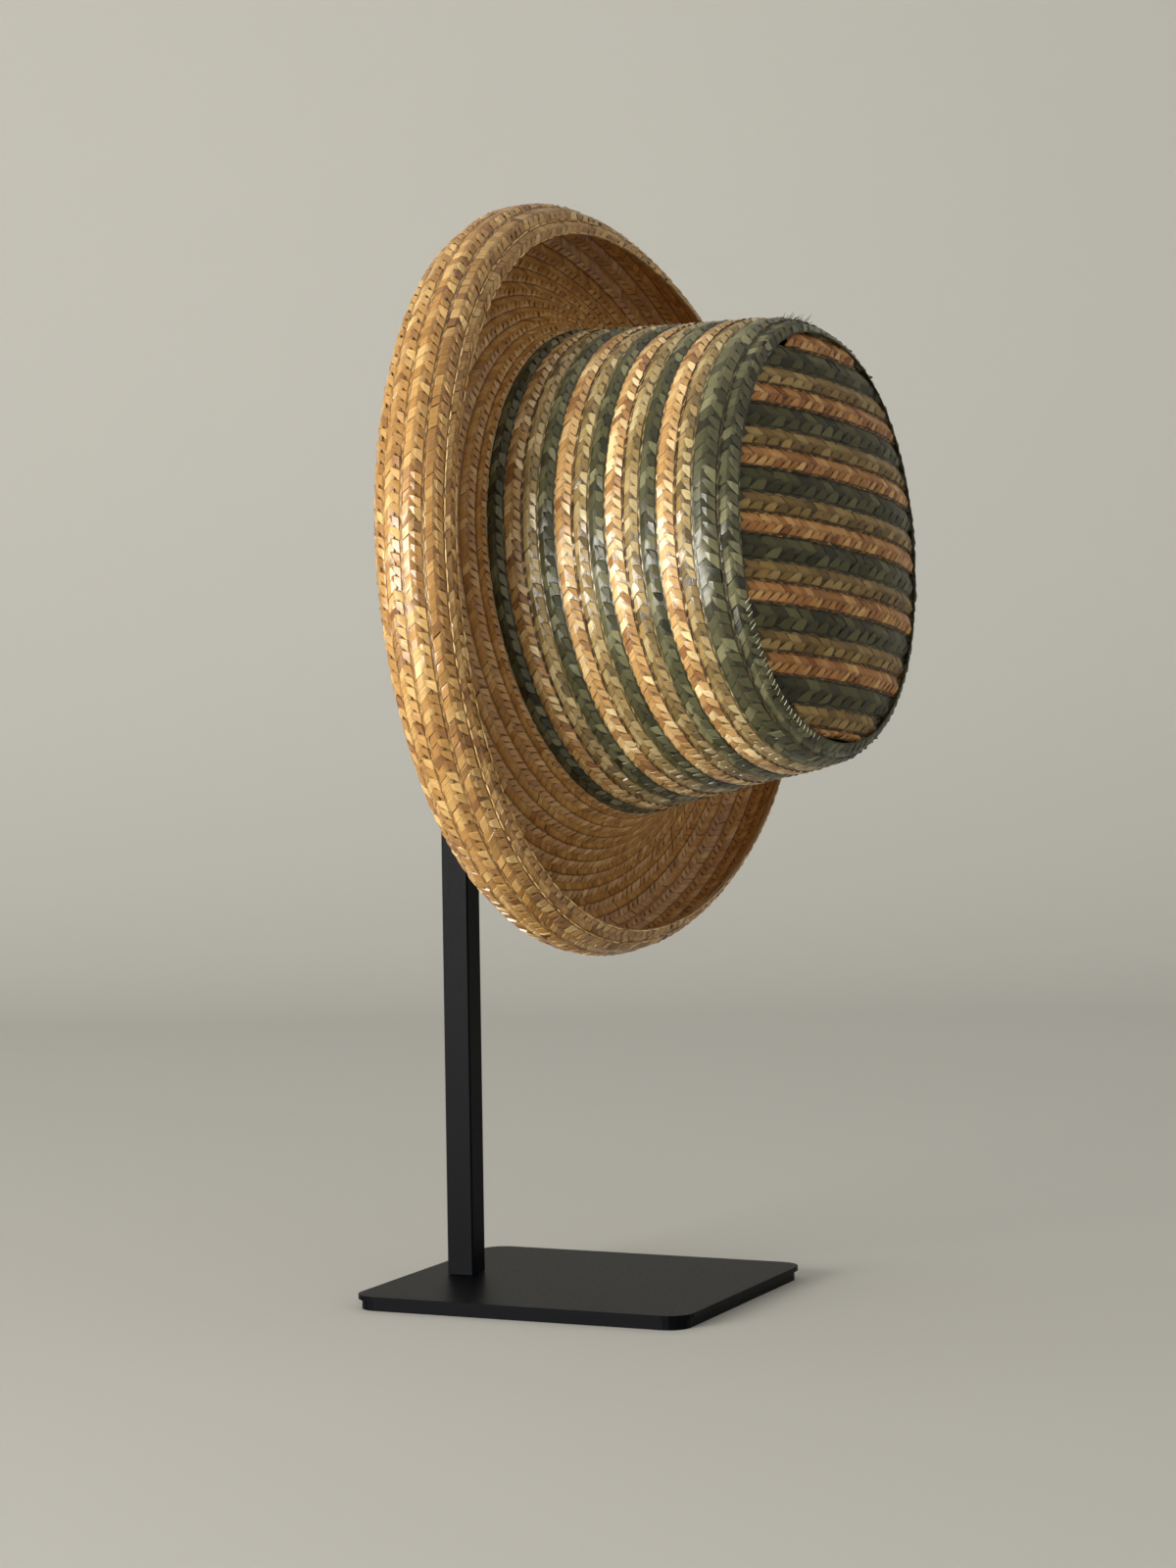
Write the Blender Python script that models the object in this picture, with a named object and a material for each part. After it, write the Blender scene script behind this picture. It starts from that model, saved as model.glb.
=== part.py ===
"""A sewn straw hat with a striped crown and a rolled brim, held on its side by a black metal stand.

The hat is made of straw plaits. One tan plait runs round and round as the brim, from the collar at
the crown's foot to the rolled edge. Its solids are the floor with the collar, the roll, and
the lip. Rows of green, tan and olive plait make the crown's side, two green plaits go round its
shoulder, and straight plaits fill the tip.

The world frame has its origin at the middle of the foot's underside, +Z up. The post stands at -X
and the crown points to +X. The hat pieces are modelled on the hat's own axes: Z along the crown,
X along the long axis of the head oval, Y along its short axis. An empty then turns and lifts them.
"""

import math

import bmesh
import bpy
from mathutils import Matrix, Vector

# Sizes that all pieces share, in metres
PIECE_GAP = 0.0003
STRAW_WALL = 0.002
PLAIT_BULGE = 0.0005
RING_STEPS = 44
SHARP_ANGLE = math.radians(35.0)

# How finely the surfaces are measured
SLOPE_STEP = 0.004
NORMAL_STEP = 0.002
LENGTH_STEPS = 400
HALVINGS = 40

# The foot and the post of the stand
PLATE_LENGTH = 0.1479
PLATE_WIDTH = 0.1352
PLATE_THICKNESS = 0.002
SLAB_THICKNESS = 0.0037
SLAB_INSET = 0.0015
PLATE_CORNER_RADIUS = 0.010
CORNER_STEPS = 5
POST_SIDE = 0.012
POST_X = -0.0524
POST_Y = -0.0025
POST_EDGE_RADIUS = 0.0006
HEAD_THICKNESS = 0.004

# Where the hat's own origin lies, measured from the middle of the plate's upper face
HAT_X = -0.0035
HAT_Y = -0.0004
HAT_HEIGHT = 0.2913
POST_BELOW_HAT_ORIGIN = 0.007

# How the hat is turned: crown to the side, crown upwards, and the head oval about the crown's axis
HAT_YAW = math.radians(-10.2)
HAT_TILT = math.radians(8.2)
HAT_SPIN = math.radians(11.7)

# The crown, measured to the outer face of its wall
COLLAR_TOP = 0.0264
CROWN_RISE = 0.1038
CROWN_LONG_RADIUS = 0.1017
CROWN_SHORT_RADIUS = 0.0892
CROWN_LEAN = -0.0048
CROWN_TIP_SLOPE = 0.0025
COLLAR_SQUARENESS = 2.0
TIP_SQUARENESS = 2.12

# A row for each section of the crown, as shares of its rise and of its two radii
CROWN_SECTIONS = (
    {"rise": 0.000, "long": 1.000, "short": 1.000},
    {"rise": 0.280, "long": 0.957, "short": 0.944},
    {"rise": 0.560, "long": 0.921, "short": 0.907},
    {"rise": 0.842, "long": 0.889, "short": 0.857},
    {"rise": 0.939, "long": 0.864, "short": 0.814},
    {"rise": 1.000, "long": 0.815, "short": 0.752},
)

# The plait rows of the crown's side: the repeat of colours, and each plait's width
ROW_REPEATS = 4
ROW_COLOURS = ("green", "tan", "olive")
ROW_WIDTHS = {"green": 0.0070, "tan": 0.0079, "olive": 0.0067}
EDGE_BRAID_WIDTH = 0.0102
BINDING_BRAID_WIDTH = 0.0081

# The tip of the crown: its straight plaits, and how they sit inside the binding
TIP_COLOURS = ("tan", "green", "olive")
TIP_WIDTHS = {"tan": 0.0084, "green": 0.0100, "olive": 0.0080}
TIP_TURN = math.radians(-5.4)
TIP_RECESS = 0.0035
TIP_INSET = 0.0008
TIP_DOME_RISE = 0.0101
TIP_DOME_POWER = 2.57
TIP_PLAIT_STEPS = 6
TIP_END_CHORD = 0.985
TIP_LEAST_WIDTH = 0.002

# The brim: the centre line of its rolled edge, and the roll's own radius and turn
ROLL_LONG_RADIUS = 0.1402
ROLL_SHORT_RADIUS = 0.1267
ROLL_HEIGHT = 0.0144
ROLL_DIP = 0.0057
ROLL_LEAN = 0.0030
ROLL_SIDE_LEAN = -0.0023
ROLL_RADIUS = 0.0159
ROLL_START = math.radians(-90.0)
ROLL_END = math.radians(98.0)
ROLL_SQUARENESS = 1.97
COLLAR_DROP = 0.014
COLLAR_FLARE = 0.005
FLOOR_PULL = 0.022

# The brim's solids, from the collar to the free edge, and the steps that each one takes
FLOOR_STEPS = 7
ROLL_STEPS = 4
LIP_STEPS = 4
BRIM_STEPS = FLOOR_STEPS + ROLL_STEPS + LIP_STEPS
BRIM_PARTS = (
    {"name": "brim_floor", "steps": FLOOR_STEPS},
    {"name": "brim_roll", "steps": ROLL_STEPS},
    {"name": "brim_lip", "steps": LIP_STEPS},
)

# Colour, roughness and metallic value of each material
FINISHES = {
    "brim_tan": ((0.50, 0.29, 0.11), 0.42, 0.0),
    "tan": ((0.52, 0.27, 0.11), 0.42, 0.0),
    "olive": ((0.20, 0.16, 0.07), 0.42, 0.0),
    "green": ((0.035, 0.045, 0.03), 0.40, 0.0),
    "black": ((0.012, 0.012, 0.013), 0.45, 0.6),
}


def clear_scene():
    """Remove every object that the file starts with."""
    for old in list(bpy.data.objects):
        bpy.data.objects.remove(old, do_unlink=True)


def make_materials():
    """Give each finish its own Principled material."""
    made = {}
    for name, (colour, roughness, metallic) in FINISHES.items():
        material = bpy.data.materials.new(name)
        material.use_nodes = True
        shader = material.node_tree.nodes["Principled BSDF"]
        shader.inputs["Base Color"].default_value = (*colour, 1.0)
        shader.inputs["Roughness"].default_value = roughness
        shader.inputs["Metallic"].default_value = metallic
        material.diffuse_color = (*colour, 1.0)
        made[name] = material
    return made


def add_object(name, points, faces, material, parent=None):
    """Make one closed body from points and faces, with its faces turned outwards."""
    mesh = bpy.data.meshes.new(name)
    mesh.from_pydata([tuple(point) for point in points], [], faces)
    work = bmesh.new()
    work.from_mesh(mesh)
    bmesh.ops.recalc_face_normals(work, faces=work.faces)
    work.to_mesh(mesh)
    work.free()
    mesh.materials.append(material)
    made = bpy.data.objects.new(name, mesh)
    bpy.context.scene.collection.objects.link(made)
    made.parent = parent
    return made


def blend(low, high, share):
    """Return the value a share of the way from low to high."""
    return low + (high - low) * share


def squared(value, power):
    """Raise a sine or cosine to a power and keep its sign."""
    return math.copysign(abs(value) ** power, value)


def oval(angle, long_radius, short_radius, squareness):
    """Return the X and Y of a point on an oval that is a little squarer or leaner than an ellipse."""
    power = 2.0 / squareness
    return (long_radius * squared(math.cos(angle), power), -short_radius * squared(math.sin(angle), power))


def smooth_value(table, column, share):
    """Read a column of a table of sections at a share of the rise, on a smooth curve through them."""
    rises = [row["rise"] for row in table]
    last = len(table) - 2
    span = min(last, max(0, sum(1 for rise in rises if rise <= share) - 1))
    before = table[max(0, span - 1)]
    low = table[span]
    high = table[span + 1]
    after = table[min(len(table) - 1, span + 2)]
    width = high["rise"] - low["rise"]
    step = (share - low["rise"]) / width
    slope_low = (high[column] - before[column]) / (high["rise"] - before["rise"]) * width
    slope_high = (after[column] - low[column]) / (after["rise"] - low["rise"]) * width
    turn = high[column] - low[column]
    cubic = slope_low + slope_high - 2.0 * turn
    square = 3.0 * turn - 2.0 * slope_low - slope_high
    return low[column] + step * (slope_low + step * (square + step * cubic))


def crown_radii(share):
    """Return the two radii of the crown's outer face at a share of its rise."""
    long_radius = CROWN_LONG_RADIUS * smooth_value(CROWN_SECTIONS, "long", share)
    short_radius = CROWN_SHORT_RADIUS * smooth_value(CROWN_SECTIONS, "short", share)
    return long_radius, short_radius


def crown_point(share, angle, inset=0.0):
    """Return a point of the crown's wall, at a share of its rise, set in from its outer face."""
    low_share = max(0.0, share - SLOPE_STEP)
    high_share = min(1.0, share + SLOPE_STEP)
    run = (sum(crown_radii(low_share)) - sum(crown_radii(high_share))) / 2.0
    climb = CROWN_RISE * (high_share - low_share)
    length = math.hypot(run, climb)
    long_radius, short_radius = crown_radii(share)
    inwards = inset * climb / length
    squareness = blend(COLLAR_SQUARENESS, TIP_SQUARENESS, share)
    x, y = oval(angle, long_radius - inwards, short_radius - inwards, squareness)
    height = COLLAR_TOP + CROWN_RISE * share - inset * run / length
    slope = CROWN_TIP_SLOPE * share * math.cos(angle)
    return Vector((x + CROWN_LEAN * share, y, height + slope))


def crown_shares(lengths):
    """Turn shares of the crown's length, measured up its side, into shares of its rise."""
    travelled = [0.0]
    for step in range(LENGTH_STEPS):
        low_radii = crown_radii(step / LENGTH_STEPS)
        high_radii = crown_radii((step + 1) / LENGTH_STEPS)
        run = (sum(low_radii) - sum(high_radii)) / 2.0
        travelled.append(travelled[-1] + math.hypot(run, CROWN_RISE / LENGTH_STEPS))
    shares = []
    for length in lengths:
        target = length * travelled[-1]
        step = min(LENGTH_STEPS - 1, sum(1 for value in travelled if value <= target) - 1)
        rest = (target - travelled[step]) / (travelled[step + 1] - travelled[step])
        shares.append((step + rest) / LENGTH_STEPS)
    return shares, travelled[-1]


def join_sections(name, sections, ends, material, parent):
    """Join outlines that follow each other into one body: a closed ring, or a bar with flat ends."""
    count = len(sections[0])
    points = [point for section in sections for point in section]
    faces = []
    for step in range(len(sections) - (1 if ends else 0)):
        following = (step + 1) % len(sections)
        for corner in range(count):
            beside = (corner + 1) % count
            faces.append((step * count + corner, step * count + beside,
                          following * count + beside, following * count + corner))
    if ends:
        faces.append(tuple(range(count)))
        faces.append(tuple(range(len(points) - count, len(points))))
    made = add_object(name, points, faces, material, parent)
    made.data.shade_smooth()
    made.data.set_sharp_from_angle(angle=SHARP_ANGLE)
    return made


def ring_angles():
    """Return the angles of the sections that go once round the hat."""
    return [2.0 * math.pi * step / RING_STEPS for step in range(RING_STEPS)]


def add_crown_row(name, low, high, bulge_steps, material, parent):
    """Make one plait that goes round the crown between two shares of its rise, a little bulged."""
    sections = []
    for angle in ring_angles():
        section = []
        for step in range(bulge_steps + 1):
            across = step / bulge_steps
            hollow = PLAIT_BULGE * (1.0 - math.sin(math.pi * across))
            section.append(crown_point(blend(low, high, across), angle, hollow))
        section.append(crown_point(high, angle, STRAW_WALL))
        section.append(crown_point(low, angle, STRAW_WALL))
        sections.append(section)
    join_sections(name, sections, False, material, parent)


def add_crown(materials, parent):
    """Make the rows of the crown's side, the wide braid at the shoulder and the tip's binding."""
    rows = []
    for number, colour in enumerate(ROW_COLOURS * ROW_REPEATS):
        rows.append((f"crown_row_{number + 1:02d}", colour, ROW_WIDTHS[colour], 2))
    rows.append(("crown_edge_braid", "green", EDGE_BRAID_WIDTH, 3))
    rows.append(("tip_binding_braid", "green", BINDING_BRAID_WIDTH, 2))
    widths = [width for name, colour, width, bulge_steps in rows]
    edges = [sum(widths[:count]) / sum(widths) for count in range(len(widths) + 1)]
    shares, side_length = crown_shares(edges)
    gap = PIECE_GAP / side_length
    for number, (name, colour, width, bulge_steps) in enumerate(rows):
        low = shares[number] + gap
        add_crown_row(name, low, shares[number + 1], bulge_steps, materials[colour], parent)


def brim_centre(along, angle):
    """Return a point on the middle of the brim's wall, from the collar at 0 to the free edge at 1."""
    floor_part = FLOOR_STEPS / BRIM_STEPS
    roll_height = ROLL_HEIGHT - ROLL_DIP * math.cos(2.0 * angle)
    roll_height += ROLL_LEAN * math.cos(angle) + ROLL_SIDE_LEAN * math.sin(angle)
    if along > floor_part:
        turn = blend(ROLL_START, ROLL_END, (along - floor_part) / (1.0 - floor_part))
        reach = ROLL_RADIUS * math.cos(turn)
        x, y = oval(angle, ROLL_LONG_RADIUS + reach, ROLL_SHORT_RADIUS + reach, ROLL_SQUARENESS)
        return Vector((x, y, roll_height + ROLL_RADIUS * math.sin(turn)))
    step = along / floor_part
    low = roll_height - ROLL_RADIUS
    collar_long = CROWN_LONG_RADIUS - STRAW_WALL / 2.0
    collar_short = CROWN_SHORT_RADIUS - STRAW_WALL / 2.0
    longs = (collar_long, collar_long + COLLAR_FLARE, ROLL_LONG_RADIUS - FLOOR_PULL, ROLL_LONG_RADIUS)
    shorts = (collar_short, collar_short + COLLAR_FLARE, ROLL_SHORT_RADIUS - FLOOR_PULL, ROLL_SHORT_RADIUS)
    heights = (COLLAR_TOP, COLLAR_TOP - COLLAR_DROP, low, low)
    squareness = blend(COLLAR_SQUARENESS, ROLL_SQUARENESS, step)
    x, y = oval(angle, curve_value(longs, step), curve_value(shorts, step), squareness)
    return Vector((x, y, curve_value(heights, step)))


def curve_value(controls, step):
    """Return the value of a cubic curve with four controls at a step from 0 to 1."""
    rest = 1.0 - step
    weights = (rest ** 3, 3.0 * step * rest ** 2, 3.0 * step ** 2 * rest, step ** 3)
    return sum(weight * control for weight, control in zip(weights, controls))


def brim_normal(along, angle):
    """Return the direction square to the brim's wall."""
    down_line = brim_centre(min(1.0, along + NORMAL_STEP), angle)
    down_line -= brim_centre(max(0.0, along - NORMAL_STEP), angle)
    round_line = brim_centre(along, angle + NORMAL_STEP) - brim_centre(along, angle - NORMAL_STEP)
    return round_line.cross(down_line).normalized()


def add_brim_part(name, low, high, steps, material, parent):
    """Make the brim's wall between two places on its way from the collar to the free edge."""
    sections = []
    for angle in ring_angles():
        one_side = []
        other_side = []
        for step in range(steps + 1):
            along = blend(low, high, step / steps)
            centre = brim_centre(along, angle)
            half_wall = brim_normal(along, angle) * STRAW_WALL / 2.0
            one_side.append(centre + half_wall)
            other_side.append(centre - half_wall)
        sections.append(one_side + other_side[::-1])
    join_sections(name, sections, False, material, parent)


def brim_length():
    """Return the length of the brim's wall from the collar to the free edge, at its upper end."""
    points = [brim_centre(step / LENGTH_STEPS, 0.0) for step in range(LENGTH_STEPS + 1)]
    return sum((after - before).length for before, after in zip(points, points[1:]))


def add_brim(material, parent):
    """Make the brim: its collar and floor, the roll, and the lip that curls inwards."""
    gap = PIECE_GAP / brim_length()
    done = 0
    for row in BRIM_PARTS:
        low = done / BRIM_STEPS + (gap if done else 0.0)
        done += row["steps"]
        add_brim_part(row["name"], low, done / BRIM_STEPS, row["steps"], material, parent)


def tip_edge():
    """Return the two radii of the oval that the tip's plaits fill."""
    long_radius, short_radius = crown_radii(1.0)
    return long_radius - TIP_INSET, short_radius - TIP_INSET


def edge_share(x, y):
    """Return how far a place on the tip is from its middle, as a share of the way to the edge."""
    long_radius, short_radius = tip_edge()
    total = abs(x / long_radius) ** TIP_SQUARENESS + abs(y / short_radius) ** TIP_SQUARENESS
    return total ** (1.0 / TIP_SQUARENESS)


def tip_place(place, side):
    """Turn a place across the plaits and a distance along them into X and Y on the tip."""
    x = place * math.cos(TIP_TURN) - side * math.sin(TIP_TURN)
    y = -place * math.sin(TIP_TURN) - side * math.cos(TIP_TURN)
    return x, y


def plait_end(place, way):
    """Return the distance along a plait, one way or the other, at which it meets the edge."""
    near = 0.0
    far = 2.0 * CROWN_SHORT_RADIUS
    for halving in range(HALVINGS):
        middle = (near + far) / 2.0
        if edge_share(*tip_place(place, way * middle)) < 1.0:
            near = middle
        else:
            far = middle
    return way * near


def tip_point(place, along, drop):
    """Return a point of the tip: a place across the plaits, and a share of the way along one."""
    side = blend(plait_end(place, -1.0), plait_end(place, 1.0), along)
    x, y = tip_place(place, side)
    dome = TIP_DOME_RISE * (1.0 - min(1.0, edge_share(x, y)) ** TIP_DOME_POWER)
    slope = CROWN_TIP_SLOPE * x / tip_edge()[0]
    height = COLLAR_TOP + CROWN_RISE - TIP_RECESS + dome + slope - drop
    return Vector((x + CROWN_LEAN, y, height))


def add_tip(materials, parent):
    """Make the straight plaits of the tip, laid side by side from its upper end down."""
    reach = tip_edge()[0] * TIP_END_CHORD
    start = reach
    number = 0
    while start > -reach:
        colour = TIP_COLOURS[number % len(TIP_COLOURS)]
        end = start - TIP_WIDTHS[colour]
        if end < TIP_LEAST_WIDTH - reach:
            end = -reach
        stop = end + PIECE_GAP
        rims = ((start, PLAIT_BULGE), ((start + stop) / 2.0, 0.0), (stop, PLAIT_BULGE))
        rims += ((stop, STRAW_WALL), (start, STRAW_WALL))
        sections = []
        for step in range(TIP_PLAIT_STEPS + 1):
            sections.append([tip_point(place, step / TIP_PLAIT_STEPS, drop) for place, drop in rims])
        join_sections(f"tip_plait_{number + 1:02d}", sections, True, materials[colour], parent)
        start = end
        number += 1


def head_top():
    """Return the height of the face of the head plate that the tip lies on, at its rim."""
    return COLLAR_TOP + CROWN_RISE - TIP_RECESS - STRAW_WALL - PIECE_GAP


def add_head(material, parent):
    """Make the oval plate inside the crown that carries the hat."""
    long_radius, short_radius = tip_edge()
    sections = []
    for height in (head_top() - HEAD_THICKNESS, head_top()):
        section = []
        for angle in ring_angles():
            x, y = oval(angle, long_radius, short_radius, TIP_SQUARENESS)
            section.append(Vector((x + CROWN_LEAN, y, height + CROWN_TIP_SLOPE * x / long_radius)))
        sections.append(section)
    join_sections("stand_head", sections, True, material, parent)


def rounded_rectangle(length, width, radius, steps):
    """Return the outline of a rectangle with round corners, as X and Y pairs."""
    outline = []
    centres = ((1, 1, 0.0), (-1, 1, 0.5 * math.pi), (-1, -1, math.pi), (1, -1, 1.5 * math.pi))
    for side_x, side_y, start in centres:
        for step in range(steps + 1):
            angle = start + 0.5 * math.pi * step / steps
            x = side_x * (length / 2.0 - radius) + radius * math.cos(angle)
            y = side_y * (width / 2.0 - radius) + radius * math.sin(angle)
            outline.append((x, y))
    return outline


def add_foot(plate_bottom, plate_top, material):
    """Make the foot: a thin plate over a slightly smaller slab."""
    for name, inset, bottom, top in (
        ("stand_plate", 0.0, plate_bottom, plate_top),
        ("stand_slab", SLAB_INSET, 0.0, SLAB_THICKNESS),
    ):
        outline = rounded_rectangle(PLATE_LENGTH - 2.0 * inset, PLATE_WIDTH - 2.0 * inset,
                                    PLATE_CORNER_RADIUS - inset, CORNER_STEPS)
        sections = [[Vector((x, y, height)) for x, y in outline] for height in (bottom, top)]
        join_sections(name, sections, True, material, None)


def slide_to(point, direction, plane_point, plane_normal):
    """Slide a point along a direction until it meets a plane."""
    distance = (plane_point - point).dot(plane_normal) / direction.dot(plane_normal)
    return point + direction * distance


def add_post(plate_top, hat_place, material):
    """Make the upright post and, mitred to its top, the arm that reaches the head plate."""
    upwards = Vector((0.0, 0.0, 1.0))
    foot = Vector((POST_X, POST_Y, plate_top + PIECE_GAP))
    corner = Vector((POST_X, POST_Y, plate_top + HAT_HEIGHT - POST_BELOW_HAT_ORIGIN))
    crown_way = hat_place.to_3x3() @ Vector((CROWN_TIP_SLOPE / -tip_edge()[0], 0.0, 1.0)).normalized()
    arm_end = hat_place @ Vector((CROWN_LEAN, 0.0, head_top() - HEAD_THICKNESS)) - crown_way * PIECE_GAP
    along_arm = (arm_end - corner).normalized()
    outline = rounded_rectangle(POST_SIDE, POST_SIDE, POST_EDGE_RADIUS, 1)
    low_end = [foot + Vector((x, y, 0.0)) for x, y in outline]
    mitre = [slide_to(point, upwards, corner, upwards + along_arm) for point in low_end]
    far_end = [slide_to(point, along_arm, arm_end, crown_way) for point in mitre]
    join_sections("stand_post", [low_end, mitre, far_end], True, material, None)


def main():
    clear_scene()
    materials = make_materials()
    plate_bottom = SLAB_THICKNESS + PIECE_GAP
    plate_top = plate_bottom + PLATE_THICKNESS

    # The empty that turns the hat on its side and lifts it to its place on the stand
    turn = Matrix.Rotation(HAT_YAW, 4, "Z") @ Matrix.Rotation(math.pi / 2.0 - HAT_TILT, 4, "Y")
    turn = turn @ Matrix.Rotation(math.pi - HAT_SPIN, 4, "Z")
    hat_place = Matrix.Translation((HAT_X, HAT_Y, plate_top + HAT_HEIGHT)) @ turn
    hat = bpy.data.objects.new("hat_axes", None)
    bpy.context.scene.collection.objects.link(hat)
    hat.matrix_world = hat_place

    add_brim(materials["brim_tan"], hat)
    add_crown(materials, hat)
    add_tip(materials, hat)
    add_head(materials["black"], hat)
    add_foot(plate_bottom, plate_top, materials["black"])
    add_post(plate_top, hat_place, materials["black"])


main()
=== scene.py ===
"""Looks of a striped sewn straw hat that a black metal stand holds on its side.

Each row of the hat is a flat straw plait. It is built straw by straw: two columns of slanting
straws that meet in a herringbone, with small loops along both edges, over a thin ribbon.
Lengths are in metres. The hat is built on its own axes: Z along the crown, X along the long axis
of the head oval, Y along its short axis, and is then turned and lifted to its place on the stand.
"""

import math

import bpy
import numpy as np
from mathutils import Matrix, Vector


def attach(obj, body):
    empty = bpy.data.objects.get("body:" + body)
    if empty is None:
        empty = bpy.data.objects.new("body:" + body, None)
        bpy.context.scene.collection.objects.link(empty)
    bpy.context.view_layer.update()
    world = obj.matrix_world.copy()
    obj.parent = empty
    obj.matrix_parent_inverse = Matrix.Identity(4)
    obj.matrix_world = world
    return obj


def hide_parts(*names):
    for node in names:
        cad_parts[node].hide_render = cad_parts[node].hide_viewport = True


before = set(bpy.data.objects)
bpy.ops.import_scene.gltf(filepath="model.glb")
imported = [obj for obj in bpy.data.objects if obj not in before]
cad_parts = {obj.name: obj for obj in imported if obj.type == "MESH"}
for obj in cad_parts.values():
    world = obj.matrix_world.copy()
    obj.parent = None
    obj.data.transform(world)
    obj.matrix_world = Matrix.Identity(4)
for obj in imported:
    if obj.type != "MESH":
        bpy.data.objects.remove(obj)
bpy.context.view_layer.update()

SEED = 17
random = np.random.default_rng(SEED)

# The hat's place on the stand, as the solids have it
PLATE_TOP = 0.0060
HAT_X = -0.0035
HAT_Y = -0.0004
HAT_HEIGHT = 0.2913
HAT_YAW = math.radians(-10.2)
HAT_TILT = math.radians(8.2)
HAT_SPIN = math.radians(11.7)

# The crown's side, measured to its outer face
STRAW_WALL = 0.002
PIECE_GAP = 0.0003
COLLAR_TOP = 0.0264
CROWN_RISE = 0.1038
CROWN_LONG_RADIUS = 0.1017
CROWN_SHORT_RADIUS = 0.0892
CROWN_LEAN = -0.0048
CROWN_TIP_SLOPE = 0.0025
COLLAR_SQUARENESS = 2.0
TIP_SQUARENESS = 2.12

# A row for each section of the crown, as shares of its rise and of its two radii
CROWN_SECTIONS = (
    {"rise": 0.000, "long": 1.000, "short": 1.000},
    {"rise": 0.280, "long": 0.957, "short": 0.944},
    {"rise": 0.560, "long": 0.921, "short": 0.907},
    {"rise": 0.842, "long": 0.889, "short": 0.857},
    {"rise": 0.939, "long": 0.864, "short": 0.814},
    {"rise": 1.000, "long": 0.815, "short": 0.752},
)

# The rows of the crown's side, from the brim upwards
ROW_REPEATS = 4
ROW_COLOURS = ("green", "tan", "olive")
ROW_WIDTHS = {"green": 0.0070, "tan": 0.0079, "olive": 0.0067}
EDGE_BRAID_WIDTH = 0.0102
BINDING_BRAID_WIDTH = 0.0081

# The straight plaits of the tip, from its upper end downwards
TIP_COLOURS = ("tan", "green", "olive")
TIP_WIDTHS = {"tan": 0.0084, "green": 0.0100, "olive": 0.0080}
TIP_TURN = math.radians(-5.4)
TIP_RECESS = 0.0017
TIP_INSET = 0.0008
TIP_DOME_RISE = 0.0101
TIP_DOME_POWER = 2.57
TIP_END_CHORD = 0.985
TIP_LEAST_WIDTH = 0.002

# The brim: its floor, and the roll that curls up and inward at its edge
ROLL_LONG_RADIUS = 0.1402
ROLL_SHORT_RADIUS = 0.1267
ROLL_HEIGHT = 0.0144
ROLL_DIP = 0.0057
ROLL_LEAN = 0.0030
ROLL_SIDE_LEAN = -0.0023
ROLL_RADIUS = 0.0159
ROLL_START = math.radians(-90.0)
ROLL_END = math.radians(73.0)
ROLL_END_NEAR = math.radians(23.0)
ROLL_END_UPPER = math.radians(9.0)
ROLL_SQUARENESS = 1.97
COLLAR_DROP = 0.014
COLLAR_FLARE = 0.005
FLOOR_PULL = 0.022
FLOOR_STEPS = 7
BRIM_STEPS = 15
FLOOR_PART = FLOOR_STEPS / BRIM_STEPS

# The brim's rows: the one at the free edge, and the others on its second side and in its trough;
# a row is added while room for this many more is left
BRIM_EDGE_ROW = 0.0060
BRIM_ROW = 0.0082
TROUGH_ROW = 0.0066
LEAST_ROOM = 1.5

# How finely the crown and the brim are measured
SLOPE_STEP = 0.004
LENGTH_STEPS = 401
RING_STEPS = 721
HALVINGS = 30
GRID_ANGLES = 480
GRID_STEPS = 160
GRID_FINENESS = 4

# How far apart the straws of a plait lie
CROWN_PITCHES = {"tan": 0.0042, "olive": 0.0052, "green": 0.0055}
TIP_PITCHES = {"tan": 0.0044, "olive": 0.0066, "green": 0.0074}
EDGE_BRAID_PITCH = 0.0056
BINDING_BRAID_PITCH = 0.0047
BRIM_PITCH = 0.0047
TROUGH_PITCH = 0.0036

# How a plait is woven: the slant and lift of its straws, and how its edges fall away
SLANT = 0.80
STRAW_LIFT = 0.00055
STRAW_SINK = 0.0002
STRAW_OVERLAP = 1.16
STRAW_CREASE = math.radians(24.0)
SHINGLE_TILT = 0.15
RIDGE_TILT = 0.20
ROW_HOLLOW = 0.0007
BRIM_HOLLOW = 0.0004
TROUGH_RELIEF = 0.45
NARROWING_POWER = 1.5
END_MARGIN = 0.2
EDGE_MARGIN = 0.02

# How much the straws of a plait differ from each other, and the limits of that
PLACE_SPREAD = 0.06
WIDTH_SPREAD = 0.08
WIDTH_LIMIT = 1.5
ACROSS_SPREAD = 0.012
SLANT_SPREAD = 0.10
SHINGLE_SPREAD = 0.40
RIDGE_SPREAD = 0.35
TILT_LIMIT = 1.7
TONE_SPREAD = 0.25
BRIM_TONE_SPREAD = 0.21
TROUGH_TONE_SPREAD = 0.13

# Heights of a crease, as shares of the straw's lift; creases no higher than the raised height are darkened
# with painted shade
RAISED_HEIGHT = 0.3
LEAST_HEIGHT = -0.4
MOST_HEIGHT = 2.2

# A row for each column of straws across a plait: where it lies, its slant, its shift, how high it
# stands, and how wide its straws are at their inner ends
COLUMNS = (
    {"low": -0.04, "high": 0.08, "slant": 0.0, "shift": 0.25, "lift": 0.40, "tip": 0.80},
    {"low": 0.92, "high": 1.04, "slant": 0.0, "shift": 0.75, "lift": 0.40, "tip": 0.80},
    {"low": 0.02, "high": 0.66, "slant": 1.0, "shift": 0.00, "lift": 0.80, "tip": 1.00},
    {"low": 0.30, "high": 0.98, "slant": -1.0, "shift": 0.50, "lift": 1.10, "tip": 0.12},
)

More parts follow.
